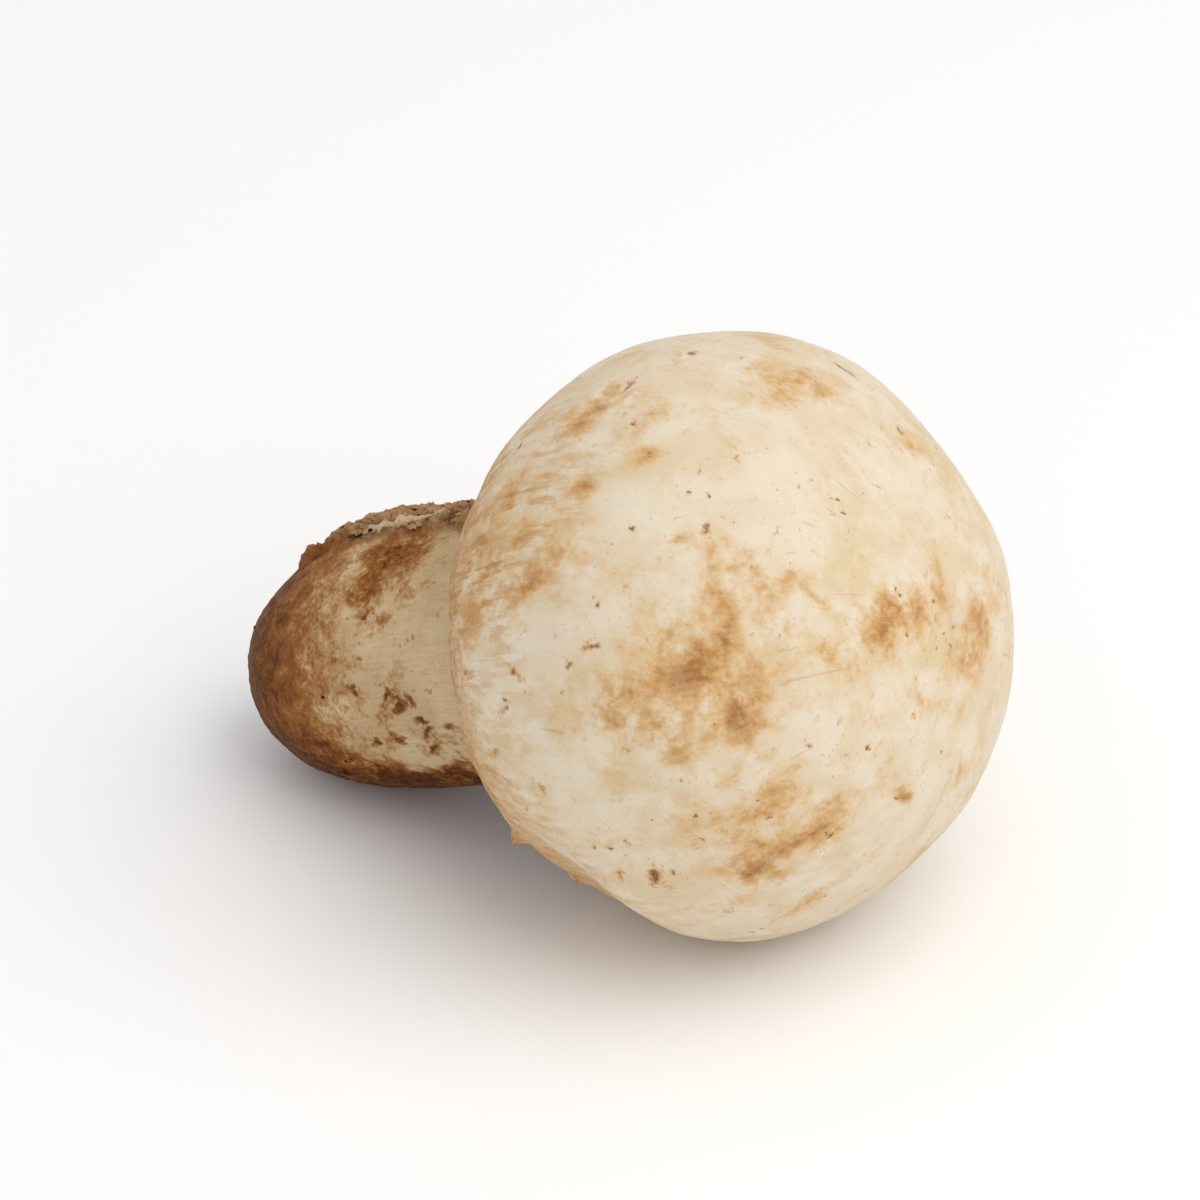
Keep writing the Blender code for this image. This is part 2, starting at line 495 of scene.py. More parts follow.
def patch(points, centre, along, across, spot):
    """How far points lie from the middle of a spot, where 1 is its edge."""
    half_length, half_width, turn = spot
    offset = points - centre
    forward = offset @ along
    sideways = offset @ across
    angle = math.radians(turn)
    length = (forward * math.cos(angle) + sideways * math.sin(angle)) / half_length
    width = (sideways * math.cos(angle) - forward * math.sin(angle)) / half_width
    depth = offset @ np.cross(along, across) / SPOT_DEPTH
    return np.sqrt(length ** 2 + width ** 2 + depth ** 2)


def wandering(points, size, reach, seed):
    """Points pushed about, so that what is drawn there has a wavy outline."""
    push = [fractal(points, size, seed + 7 * axis, 3) for axis in range(3)]
    return points + reach * np.stack(push, axis=-1)


def spot_cover(points, place, spots):
    """Strength of the spots at each point, laid over one another."""
    bare = np.ones(points.shape[:-1])
    for azimuth, second, half_length, half_width, turn, strength in spots:
        reach = patch(points, *place(azimuth, second), (half_length, half_width, turn))
        bare *= 1.0 - strength * np.exp(-reach ** 2)
    return 1.0 - bare


def closed_ribbon(rows, columns):
    """Faces of a ribbon folded back under itself, with its sides and end closed."""
    faces = quad_faces(rows, columns, False)
    last = rows - 1
    half = rows // 2
    ends = [(index, last * columns + index, last * columns + index + 1, index + 1)
            for index in range(columns - 1)]
    sides = []
    for row in range(half - 1):
        other = last - row
        for column, flip in ((0, False), (columns - 1, True)):
            corner = (row * columns + column, (row + 1) * columns + column,
                      (other - 1) * columns + column, other * columns + column)
            sides.append(corner if flip else corner[::-1])
    return np.concatenate([faces, np.array(ends)[:, ::-1], np.array(sides)], axis=0)


def folded(front, back, level):
    """A closed sheet with a front and a back: its points, faces and levels."""
    rows, columns = front.shape[:2]
    level = np.broadcast_to(level, (rows, columns))
    points = np.concatenate([front, back[::-1]], axis=0).reshape(-1, 3)
    return points, closed_ribbon(2 * rows, columns), np.concatenate([level, level[::-1]]).ravel()


def gathered(name, parts):
    """One piece made of many small closed shapes."""
    points, faces, levels = zip(*parts)
    starts = np.cumsum([0] + [len(some) for some in points])
    faces = np.concatenate([some + start for some, start in zip(faces, starts)])
    levels = np.concatenate(levels)
    return build_mesh(name, rested(np.concatenate(points)), faces, {"level": levels})


# ---- cap

def dome_place(azimuth, polar):
    """A point on the plain dome, with the ways down the meridian and round it."""
    turn = math.radians(azimuth)
    lean = math.radians(polar)
    radial = np.array((math.cos(turn), math.sin(turn), 0.0))
    centre = CAP_RADIUS * math.sin(lean) * radial
    centre[2] = DOME_HEIGHT * math.cos(lean)
    along = CAP_RADIUS * math.cos(lean) * radial
    along[2] = -DOME_HEIGHT * math.sin(lean)
    across = np.array((-math.sin(turn), math.cos(turn), 0.0))
    return centre, along / np.linalg.norm(along), across


def cap_swell(azimuth, polar):
    """The cap's size at each place on its skin, as a share of the plain dome."""
    size = np.ones(np.broadcast(azimuth, polar).shape)
    for centre, middle, depth, azimuth_width, polar_width in CAP_HOLLOWS:
        across = turn_between(azimuth, centre) / azimuth_width
        along = (polar - middle) / polar_width
        size -= depth / CAP_RADIUS * np.exp(-across ** 2 - along ** 2)
    return size


def cap_profile():
    """Radius, height and distance from the crown of each row of the cap."""
    polar = np.radians(np.linspace(0.0, MARGIN_POLAR, 600))
    radius = CAP_RADIUS * np.sin(polar)
    height = DOME_HEIGHT * np.cos(polar)
    dome_radius, dome_height = even_rows(radius, height, DOME_ROWS)
    edge = math.radians(MARGIN_POLAR)
    facing = np.array((DOME_HEIGHT * math.sin(edge), CAP_RADIUS * math.cos(edge)))
    facing /= np.linalg.norm(facing)
    middle = np.array((dome_radius[-1], dome_height[-1])) - LIP_RADIUS * facing
    start = math.atan2(facing[1], facing[0])
    angle = np.linspace(start, -math.pi, LIP_ROWS + 1)[1:]
    lip_radius = middle[0] + LIP_RADIUS * np.cos(angle)
    lip_height = middle[1] + LIP_RADIUS * np.sin(angle)
    # The underside: up behind the margin, and flat above the gills to the axis.
    under_radius = (lip_radius[-1] + 0.1, lip_radius[-1] + 0.4, 15.0, 13.0, 9.5, 0.0)
    under_height = (GILL_EDGE_Z, -9.0, *[GILL_ROOT_Z] * 4)
    radius = np.concatenate([dome_radius, lip_radius, under_radius])
    height = np.concatenate([dome_height, lip_height, under_height])
    return radius, height, line_length(radius, height)


def streak_strength(azimuth):
    """How strongly the skin is streaked at each azimuth, from 0 to 1."""
    bare = np.ones(azimuth.shape)
    for centre, width, strength in CAP_STREAKS:
        bare *= 1.0 - strength * np.exp(-(turn_between(azimuth, centre) / width) ** 2)
    return 1.0 - bare


def margin_wave(azimuth):
    """How far the margin hangs lower or higher than the plain ring."""
    return 0.28 * fractal(around(7.0, azimuth, 0.0), 3.0, 23, 3)


def tag_relief(points):
    """How far the pointed tags of skin stand out, in millimetres."""
    relief = np.zeros(points.shape[:-1])
    for azimuth, polar, height, half_length, half_width in CAP_TAGS:
        reach = patch(points, *dome_place(azimuth, polar), (half_length, half_width, 0.0))
        reach += 0.12 * fractal(points, 0.9, 33)
        relief += height * np.maximum(1.0 - reach, 0.0) ** 1.5
    return relief


def scar_relief(points):
    """The old crescent scar: a shallow basin behind a raised, torn rim."""
    reach = patch(points, *dome_place(*SCAR_PLACE), SCAR_SPOT)
    reach += 0.16 * fractal(points, 1.6, 31)
    rim = np.exp(-((reach - 1.15) / 0.22) ** 2)
    return 0.15 * rim - 0.16 * np.exp(-reach ** 4)


def cap_relief(points, polar, grain, near_margin):
    """The cap's bumps, folds near the margin, scar and shallow hollows."""
    lift = 0.26 * fractal(points, 12.0, 3, 2) * ease(0.0, 12.0, 60.0 - 0.4 * polar)
    lift += 0.035 * fractal(points, 2.4, 5, 3)
    lift += 0.07 * near_margin * fractal(grain, 0.9, 9, 3)
    lift += scar_relief(points)
    return lift + 0.30 * np.minimum(fractal(points, 5.0, 17, 2) + 0.45, 0.0)


def cap_skin():
    """The cap's rows of points in the growth frame, with its painted attributes."""
    radius, height, arc = (line[:, None] for line in cap_profile())
    azimuth = ring(CAP_COLUMNS)
    polar = np.degrees(np.arctan2(radius / CAP_RADIUS, height / DOME_HEIGHT))
    size = cap_swell(azimuth, polar)
    points = around(radius * size, azimuth, height * size)

    outside = 1.0 - ease(arc[DOME_ROWS], arc[DOME_ROWS + LIP_ROWS], arc)
    near_margin = ease(88.0, 128.0, polar) * outside
    streaked = ease(68.0, 100.0, polar) * outside * streak_strength(azimuth)
    drifted = wandering(points, 3.4, 0.9, 101)
    stains = spot_cover(drifted, dome_place, CAP_STAINS)
    pale = spot_cover(drifted, dome_place, CAP_PALE_PLACES)
    marks = spot_cover(wandering(points, 0.9, 0.35, 131), dome_place, CAP_MARKS)
    tags = tag_relief(points)
    grain = around(9.0, azimuth, arc / 12.0)

    lift = cap_relief(points, polar, grain, near_margin) + tags - 0.05 * stains - 0.10 * marks
    points = points + outward(radius, height, azimuth) * (lift * outside)[..., None]
    points[..., 2] += (margin_wave(azimuth) * ease(112.0, 132.0, polar)
                       * ease(-9.0, -12.0, height))
    attributes = {
        "stain": np.maximum(stains, 1.4 * np.minimum(tags, 1.0)),
        "pale": pale,
        "mark": marks,
        "margin": near_margin + (1.0 - outside),
        "streak": streaked,
        "inside": 1.0 - outside,
        "grain": grain,
    }
    return points, attributes


# ---- stem

def stem_profile():
    """Radius and depth of each row of the stem, from inside the cap to the tip."""
    foot_start = STEM_END - FOOT_LENGTH
    side_depth = np.linspace(-GILL_ROOT_Z - 0.6, foot_start, 120)
    quarter = np.linspace(0.0, 0.5 * math.pi, 400)
    along = np.sin(quarter) ** (2.0 / FOOT_POWER)
    across = np.cos(quarter) ** (2.0 / FOOT_POWER)
    radius = np.concatenate([np.full(120, STEM_RADIUS), STEM_RADIUS * across[1:]])
    depth = np.concatenate([side_depth, foot_start + FOOT_LENGTH * along[1:]])
    radius[-1] = 0.0
    rows_radius, rows_depth = even_rows(radius, depth, STEM_ROWS)
    return np.append(0.0, rows_radius), np.append(rows_depth[0], rows_depth)


def stem_place(azimuth, depth):
    """A point on the stem's side, with the ways down it and round it."""
    turn = math.radians(azimuth)
    foot = max(depth - (STEM_END - FOOT_LENGTH), 0.0) / FOOT_LENGTH
    radius = STEM_RADIUS * (1.0 - min(foot, 1.0) ** FOOT_POWER) ** (1.0 / FOOT_POWER)
    radial = np.array((math.cos(turn), math.sin(turn), 0.0))
    centre = radius * radial
    centre[2] = -depth
    return centre, np.array((0.0, 0.0, -1.0)), np.array((-math.sin(turn), math.cos(turn), 0.0))


def crust_relief(points):
    """The crust's sharp crests, from 0 to about 1, and its crumbs, around 0."""
    crease = ridges(lengthwise(points), 1.35, 63, 4)
    drifted = wandering(points, 0.8, 0.3, 65) * np.array((1.0, 1.0, 0.6))
    return crease, fractal(drifted, 0.7, 67, 3)


def lengthwise(points):
    """The points squeezed along the stem, so that what is drawn there runs along it."""
    return wandering(points, 2.6, 0.9, 61) * np.array((1.0, 1.0, 0.45))


def crust_ragged(points):
    """How the crust's edge wanders in and out, around 0."""
    return fractal(points, 3.2, 41, 4)


def crust_cover(azimuth, depth, ragged):
    """1 on the torn crust, 0 off it, with a ragged edge between."""
    across = np.abs(turn_between(azimuth, CRUST_AZIMUTH)) + 8.0 * ragged
    sides = 1.0 - ease(CRUST_HALF_WIDTH - 5.0, CRUST_HALF_WIDTH - 1.0, across)
    level = depth + 2.6 * ragged
    rise = ease(CRUST_START, CRUST_START + 2.5, level)
    fall = 1.0 - ease(CRUST_FINISH - 2.5, CRUST_FINISH, level)
    return sides * rise * fall


def underside_shade_and_soil(azimuth, depth, ragged):
    """1 on the stem's underside, which is painted darker with soil and with painted shade, and is
    wider towards the foot.
    """
    half = UNDER_HALF_WIDTH + UNDER_SPREAD * np.maximum(depth - UNDER_START, 0.0)
    across = np.abs(turn_between(azimuth, UNDER_AZIMUTH)) + 9.0 * ragged
    return 1.0 - ease(half - 14.0, half + 8.0, across)


def fold_line(azimuth, depth, ragged):
    """The long light fold that runs through the crust."""
    (start_azimuth, start_depth), (end_azimuth, end_depth) = FOLD_ENDS
    share = (depth - end_depth) / (start_depth - end_depth)
    line = end_azimuth + (start_azimuth - end_azimuth) * share - 5.0
    across = (turn_between(azimuth, line) + 5.0 * ragged) / 2.4
    ends = ease(-0.1, 0.15, share) * ease(1.1, 0.85, share)
    return np.exp(-across ** 2) * ends


def stem_skin():
    """The stem's rows of points in the growth frame, with its attributes."""
    radius, depth = (line[:, None] for line in stem_profile())
    azimuth = ring(STEM_COLUMNS)
    points = around(radius, azimuth, -depth)

    ragged = crust_ragged(points)
    crust = crust_cover(azimuth, depth, ragged)
    edge = 4.0 * crust * (1.0 - crust)
    fold = fold_line(azimuth, depth, ragged)
    # The underside, to be painted darker: soil, and painted shade under the stem.
    under = underside_shade_and_soil(azimuth, depth, fractal(points, 2.6, 43, 5))
    stains = spot_cover(wandering(points, 3.0, 1.2, 151), stem_place, STEM_STAINS)
    marks = spot_cover(wandering(points, 0.9, 0.4, 181), stem_place, STEM_MARKS)
    grain = around(9.0, azimuth, depth / 8.0)
    crease, crumble = crust_relief(points)

    lift = 0.22 * fractal(points, 8.0, 51, 2)
    lift += 0.035 * fractal(grain, 0.8, 55, 3)
    lift += 0.03 * fractal(points, 1.2, 57, 2)
    lift -= 0.10 * marks
    lift += crust * (CRUST_HEIGHT + 0.85 * (crease - 0.55) + 0.30 * crumble)
    lift += 0.14 * edge + 0.28 * fold
    wrinkled = np.maximum(stains, 0.5 * ease(26.0, 34.0, depth) * (1.0 - crust))
    lift += 0.10 * wrinkled * fractal(lengthwise(points), 1.1, 69, 3)
    outside_cap = ease(-GILL_ROOT_Z + 1.0, -GILL_ROOT_Z + 3.0, depth)
    tip = 0.35 + 0.65 * ease(0.0, 3.0, radius)
    away = outward(radius, -depth, azimuth)
    points = points + away * (lift * tip * outside_cap)[..., None]
    points[..., 0] -= FOOT_LEAN * ease(STEM_END - FOOT_LENGTH, STEM_END, depth)
    attributes = {
        "stain": stains,
        "mark": marks,
        "crust": crust,
        "edge": edge,
        "fold": fold,
        "under": under,
        "crease": crease + 0.25 * crumble,
        "foot": ease(25.0, STEM_END - 2.5, depth),
        "grain": grain,
    }
    return points, attributes


# ---- gills

def gill_plate(azimuth, inner, outer, random):
    """One thin, slightly wavy gill, as a closed sheet."""
    radius = np.linspace(inner, outer, 7)[None, :]
    level = np.linspace(0.0, 1.0, 4)[:, None]
    edge = GILL_EDGE_Z + random.uniform(-0.25, 0.35)
    edge = edge + 0.9 * ease(outer - 1.5, outer, radius) + 0.9 * ease(inner + 1.0, inner, radius)
    height = GILL_ROOT_Z + 0.3 + (edge - GILL_ROOT_Z - 0.3) * level
    bend = random.uniform(-0.9, 0.9) * level ** 2 + random.uniform(-0.5, 0.5) * np.sin(radius)
    thick = GILL_THICKNESS * (1.0 - 0.45 * level)
    half_turn = np.degrees(0.5 * thick / radius)
    left = around(radius, azimuth + bend - half_turn, height)
    right = around(radius, azimuth + bend + half_turn, height)
    return folded(left, right, level)


def build_gills():
    """The ring of gills between the margin and the stem."""
    random = np.random.default_rng(11)
    plates = []
    for index in range(2 * GILL_COUNT):
        full = index % 2 == 0
        azimuth = 360.0 * index / (2 * GILL_COUNT) + random.uniform(-0.25, 0.25)
        inner = GILL_INNER if full else random.uniform(*GILL_SHORT_INNER)
        plates.append(gill_plate(azimuth, inner, GILL_OUTER, random))
    return gathered("mushroom_gills", plates)


# ---- veil

def veil_teeth(azimuth):
    """How far the pointed shreds of the veil reach at each azimuth, in millimetres."""
    reach = np.zeros(azimuth.shape)
    for centre, length, width in VEIL_TEETH:
        away = np.abs(turn_between(azimuth, centre)) / width
        point = np.maximum(1.0 - away, 0.0) ** 1.2
        reach += length * (0.72 * point + 0.28 * np.exp(-(away / 1.8) ** 2))
    return reach


def build_veil():
    """The torn rest of the veil, a thin ragged skirt on the margin."""
    azimuth = ring(VEIL_COLUMNS)
    share = np.linspace(0.0, 1.0, VEIL_ROWS)[:, None]
    places = around(9.0, azimuth, 0.0)
    teeth = veil_teeth(azimuth)
    length = np.clip(0.30 + 0.22 * fractal(places, 2.4, 71, 4), 0.05, 3.0) + teeth
    polar = np.degrees(np.arctan2(18.0 / CAP_RADIUS, -14.2 / DOME_HEIGHT))
    size = cap_swell(azimuth, polar)
    curl = 0.16 * fractal(places, 1.7, 81, 3) * share ** 2
    outward_lean = 0.25 * teeth * share
    radius = (VEIL_RADIUS + curl - 0.12 * length * (1.0 - share) + outward_lean) * size
    height = (VEIL_TOP_Z - share * (length + VEIL_OVERLAP)) * size + margin_wave(azimuth)
    thick = VEIL_THICKNESS * (1.0 - 0.85 * share)
    outer = around(radius + 0.5 * thick, azimuth, height)
    inner = around(radius - 0.5 * thick, azimuth, height)
    points = np.concatenate([outer, inner[::-1], outer[:1]], axis=0)
    level = share * ease(0.15, 0.9, length)
    level = np.concatenate([level, level[::-1], level[:1]], axis=0)
    return build_skin("mushroom_veil", points, {"level": level})


# ---- crust and soil

def stem_surface(azimuth, depth, lift):
    """A point on the stem's side, raised by lift, with its outward direction."""
    centre, along, across = stem_place(azimuth, depth)
    away = np.cross(along, across)
    centre = centre + lift * away
    centre[0] -= FOOT_LEAN * float(ease(STEM_END - FOOT_LENGTH, STEM_END, np.array(depth)))
    return centre, along, across, away


def flake(random, azimuth, depth, lift):
    """One small torn flake of the crust, lying close and curled a little."""
    steps, sides = 7, 5
    length = random.uniform(0.8, 2.0)
    width = random.uniform(0.8, 1.6)
    centre, along, across, away = stem_surface(azimuth, depth, lift)
    turn = random.uniform(0.0, 2.0 * math.pi)
    forward = along * math.cos(turn) + across * math.sin(turn)
    sideways = np.cross(away, forward)
    share = np.linspace(0.0, 1.0, steps)[:, None]
    spread = np.linspace(-1.0, 1.0, sides)[None, :]
    curl = random.uniform(-0.02, 0.08) * length
    shape = np.sin(np.pi * (0.12 + 0.80 * share)) ** 0.7
    jag = 1.0 + 0.25 * random.uniform(-1.0, 1.0, (steps, sides))
    x = share * length * jag
    y = 0.5 * width * spread * shape * jag
    z = curl * share ** 2.2 + 0.18 * width * spread ** 2 * random.uniform(-0.9, 0.5)
    points = centre + x[..., None] * forward + y[..., None] * sideways + z[..., None] * away
    thick = 0.5 * random.uniform(0.08, 0.14)
    return folded(points + thick * away, points - thick * away, share)


def crust_place(random):
    """A place well inside the torn crust, picked at random, as azimuth and depth."""
    while True:
        azimuth = CRUST_AZIMUTH + random.uniform(-1.0, 1.0) * CRUST_HALF_WIDTH
        depth = random.uniform(CRUST_START, CRUST_FINISH)
        ragged = crust_ragged(stem_place(azimuth, depth)[0])
        if crust_cover(azimuth, depth, ragged) > 0.98:
            return azimuth, depth


def build_flakes():
    """Torn, slightly bent flakes that lie on the crust."""
    random = np.random.default_rng(5)
    parts = [flake(random, *crust_place(random), random.uniform(0.60, 0.85))
             for _ in range(FLAKE_COUNT)]
    return gathered("crust_flakes", parts)


def crumb(random, centre, size):
    """One lumpy crumb of soil."""
    rows, columns = 5, 7
    polar = np.linspace(0.0, math.pi, rows)[:, None]
    azimuth = ring(columns)
    body = around(np.sin(polar), azimuth, np.cos(polar))
    lumps = random.uniform(-0.28, 0.28, (rows, columns, 1)) * np.sin(polar)[..., None]
    body = body * (1.0 + lumps) * random.uniform(0.6, 1.0, 3) * size
    faces = quad_faces(rows, columns, True)
    return (centre + body).reshape(-1, 3), faces, np.full(rows * columns, random.uniform(0.0, 1.0))


def build_soil():
    """Crumbs of dark soil caught in the crust and on the foot."""
    random = np.random.default_rng(19)
    parts = []
    for index in range(CRUMB_COUNT):
        on_crust = index % 3 != 0
        if on_crust:
            azimuth, depth = crust_place(random)
            lift = random.uniform(0.6, 1.0)
        else:
            azimuth = random.uniform(0.0, 360.0)
            depth = random.uniform(*CRUMB_DEPTHS)
            lift = -0.05
        centre = stem_surface(azimuth, depth, lift)[0]
        parts.append(crumb(random, centre, random.uniform(0.10, 0.30)))
    return gathered("soil_crumbs", parts)


# ---- materials

class Paint:
    """A material's node graph, put together one node at a time."""

    def __init__(self, name, subsurface, shine):
        self.material = bpy.data.materials.new(name)
        self.material.use_nodes = True
        self.tree = self.material.node_tree
        self.surface = self.tree.nodes["Principled BSDF"]
        self.surface.inputs["Specular IOR Level"].default_value = shine
        self.surface.inputs["Subsurface Weight"].default_value = subsurface
        self.surface.inputs["Subsurface Radius"].default_value = (1.0, 0.62, 0.36)
        self.surface.inputs["Subsurface Scale"].default_value = SUBSURFACE_DEPTH * MM
        place = self.add("TexCoord").outputs["Object"]
        self.place = self.vector("SCALE", place, scale=1.0 / MM)

    def add(self, kind, inputs=None, **settings):
        node = self.tree.nodes.new("ShaderNode" + kind)
        for key, value in settings.items():
            setattr(node, key, value)
        for key, value in (inputs or {}).items():
            self.feed(node.inputs[key], value)
        return node

    def feed(self, socket, value):
        if isinstance(value, bpy.types.NodeSocket):
            self.tree.links.new(value, socket)
        else:
            socket.default_value = value

    def attribute(self, name, output="Fac"):
        return self.add("Attribute", attribute_name=name).outputs[output]

    def vector(self, operation, first, second=(0.0, 0.0, 0.0), scale=1.0):
        inputs = {0: first, "Scale": scale} if operation == "SCALE" else {0: first, 1: second}
        return self.add("VectorMath", inputs, operation=operation).outputs[0]

    def math(self, operation, first, second=0.0):
        return self.add("Math", {0: first, 1: second}, operation=operation).outputs[0]

    def scaled(self, value, share):
        """A value times a number, or times another value."""
        return self.math("MULTIPLY", value, share)

    def centred(self, value, share):
        """A noise moved down to lie around 0, and scaled."""
        return self.scaled(self.math("SUBTRACT", value, 0.5), share)

    def weighted(self, *pairs):
        """The sum of some values, each times its own weight."""
        total = self.scaled(*pairs[0])
        for value, weight in pairs[1:]:
            total = self.math("ADD", total, self.scaled(value, weight))
        return total

    def ramp(self, value, low, high, bottom=0.0, top=1.0):
        """bottom below low, top above high, and a smooth change between them."""
        inputs = {"Value": value, "From Min": low, "From Max": high,
                  "To Min": bottom, "To Max": top}
        return self.add("MapRange", inputs, interpolation_type="SMOOTHSTEP").outputs[0]

    def noise(self, size, detail=4.0, rough=0.55, vector=None, warp=0.0):
        """Noise around 0.5, with bumps about size millimetres across."""
        inputs = {"Vector": self.place if vector is None else vector, "Scale": 1.0 / size,
                  "Detail": detail, "Roughness": rough, "Distortion": warp}
        return self.add("TexNoise", inputs).outputs["Fac"]

    def pushed(self, size, reach):
        """The place, pushed about, so that round things drawn there turn ragged."""
        inputs = {"Vector": self.place, "Scale": 1.0 / size, "Detail": 2.0}
        push = self.add("TexNoise", inputs).outputs["Color"]
        centred = self.vector("SUBTRACT", push, (0.5, 0.5, 0.5))
        return self.vector("ADD", self.place, self.vector("SCALE", centred, scale=reach))

    def specks(self, place, spacing, low, high, share):
        """Specks of different sizes, about spacing apart, on a share of places.

        The value rises from 0 at a speck's edge to 1 in its middle.
        """
        inputs = {"Vector": place, "Scale": 1.0 / spacing, "Randomness": 1.0}
        cells = self.add("TexVoronoi", inputs, feature="F1")
        chance = self.add("SeparateColor", {0: cells.outputs["Color"]})
        size = self.ramp(chance.outputs[0], 0.0, 1.0, low, high)
        reach = self.math("DIVIDE", cells.outputs["Distance"], size)
        depth = self.math("MAXIMUM", self.math("SUBTRACT", 1.0, reach), 0.0)
        return self.scaled(depth, self.math("LESS_THAN", chance.outputs[1], share))

    def threads(self, size, width, broken, share, vector=None):
        """Thin curved lines: the level lines of a noise, broken up by another."""
        field = self.noise(size, 1.0, 0.5, vector)
        offset = self.math("ABSOLUTE", self.math("SUBTRACT", field, 0.5))
        line = self.ramp(offset, 0.0, width, 1.0, 0.0)
        gaps = self.noise(broken, 2.0, 0.5, vector)
        return self.scaled(line, self.ramp(gaps, share, share + 0.05))

    def mix(self, share, first, second):
        node = self.add("Mix", data_type="RGBA")
        self.feed(node.inputs[0], share)
        self.feed(node.inputs[6], first)
        self.feed(node.inputs[7], second)
        return node.outputs[2]

    def cover(self, color, value, *layers):
        """Tints laid over the colour, each where the value rises from low to high."""
        for tint, low, high, most in layers:
            color = self.mix(self.ramp(value, low, high, 0.0, most), color, tint)
        return color

    def wash(self, color, tint, value, share):
        """The tint laid over the colour by a share of the value."""
        return self.mix(self.scaled(value, share), color, tint)

    def finish(self, color, height, depth, roughness):
        """Feeds the shader: its colour, its fine relief in millimetres, its roughness."""
        self.feed(self.surface.inputs["Base Color"], color)
        bump = self.add("Bump", {"Height": height, "Strength": 1.0, "Distance": depth * MM})
        self.feed(self.surface.inputs["Normal"], bump.outputs[0])
        self.feed(self.surface.inputs["Roughness"], roughness)
        return self.material


def stained_cap(paint, streak, cloudy, uneven, grainy):
    """The cap's cream skin with its stains, and how deeply each place is stained."""
    stain, pale = map(paint.attribute, ("stain", "pale"))
    color = paint.cover(CREAM, paint.noise(11.0, 3.0), (WARM_CREAM, 0.42, 0.60, 1.0))
    color = paint.cover(color, cloudy, (PALE_CREAM, 0.38, 0.64, 0.85))
    color = paint.wash(color, PALE_CREAM, pale, 0.85)
    blotch = paint.centred(paint.noise(1.6, 5.0, 0.6, warp=0.3), 2.4)
    soft = paint.math("SUBTRACT", paint.noise(3.4, 6.0, 0.60), 0.5)
    stained = paint.weighted((stain, 1.20), (uneven, 0.50), (soft, 2.2), (grainy, 0.34),
                             (pale, -0.25), (streak, 0.22), (stain, blotch))
    color = paint.cover(color, stained, (HONEY, 0.00, 0.75, 0.85), (OCHRE, 0.45, 1.10, 0.90),
                        (DEEP_OCHRE, 0.90, 1.50, 0.85))
    return color, stained


def streaked_cap(paint, color, streak, grain_place, uneven, grainy):
    """The skin with ochre streaks towards the margin, and a brown margin."""
    margin = paint.attribute("margin")
    streaks = paint.noise(0.34, 4.0, 0.62, grain_place)
    banded = paint.ramp(paint.noise(5.0, 3.0), 0.38, 0.58, 0.15, 1.0)
    where = paint.scaled(paint.math("ADD", streak, margin), banded)
    streaky = paint.scaled(paint.ramp(streaks, 0.44, 0.60), where)
    color = paint.wash(color, OCHRE, streaky, 0.80)
    color = paint.cover(color, paint.scaled(streaky, streaks), (DEEP_OCHRE, 0.40, 0.75, 0.30))
    rim = paint.weighted((margin, 1.0), (uneven, 0.25), (grainy, 0.20))
    return paint.cover(color, rim, (OCHRE, 0.60, 1.00, 0.70), (RIM_BROWN, 0.92, 1.15, 0.85))


def specked_cap(paint, color, cloudy, grain_place):
    """The skin with its specks, hairs and scratches, and the specks on their own."""
    ragged_place = paint.pushed(0.55, 1.1)
    crowd = paint.ramp(paint.noise(6.0, 2.0), 0.42, 0.58, 0.25, 1.0)
    dots = paint.scaled(paint.specks(ragged_place, 1.5, 0.10, 0.30, 0.55), crowd)
    color = paint.cover(color, dots, (OCHRE, 0.0, 0.50, 0.55), (SPECK_BROWN, 0.42, 0.75, 0.80))
    tiny = paint.specks(ragged_place, 0.85, 0.05, 0.16, 0.45)
    color = paint.cover(color, tiny, (DEEP_OCHRE, 0.0, 0.6, 0.50))
    large = paint.specks(ragged_place, 4.4, 0.05, 0.095, 0.45)
    tint = paint.cover(SPECK_BROWN, cloudy, (SPECK_GREY, 0.45, 0.60, 1.0))
    color = paint.cover(color, large, (OCHRE, 0.0, 0.45, 0.45), (tint, 0.35, 0.65, 0.90))
    hairs = paint.scaled(paint.threads(2.4, 0.017, 1.1, 0.59), crowd)
    scratches = paint.threads(1.3, 0.020, 0.7, 0.62, grain_place)
    color = paint.wash(color, DEEP_OCHRE, hairs, 0.34)
    return paint.wash(color, DEEP_OCHRE, scratches, 0.26), dots


def cap_material():
    paint = Paint("cap_skin", 0.12, 0.20)
    mark, streak, inside = map(paint.attribute, ("mark", "streak", "inside"))
    grain_place = paint.attribute("grain", "Vector")
    cloudy = paint.noise(4.0, 8.0, 0.62, warp=0.3)
    mottled = paint.noise(2.3, 9.0, 0.70, warp=0.5)
    fine = paint.noise(0.50, 4.0, 0.65)
    silk = paint.noise(0.16, 3.0, 0.6, grain_place)
    uneven = paint.centred(mottled, 3.2)
    grainy = paint.centred(fine, 2.0)

    color, stained = stained_cap(paint, streak, cloudy, uneven, grainy)
    color = streaked_cap(paint, color, streak, grain_place, uneven, grainy)
    color = paint.cover(color, silk, (PALE_CREAM, 0.35, 0.68, 0.14))
    color = paint.wash(color, GILL_PINK, inside, 0.6)
    color, dots = specked_cap(paint, color, cloudy, grain_place)
    bruise = paint.weighted((mark, 1.0), (grainy, 0.9))
    bruised = paint.ramp(bruise, 0.45, 1.05, 0.0, 0.88)
    color = paint.cover(color, bruise, (OCHRE, 0.15, 0.60, 0.70))
    color = paint.mix(bruised, color, SPECK_BROWN)

    height = paint.weighted((silk, 0.30), (fine, 0.40), (mottled, 0.55), (dots, -0.8),
                            (bruised, -0.8))
    return paint.finish(color, height, 0.085, paint.ramp(stained, 0.1, 1.2, 0.60, 0.48))


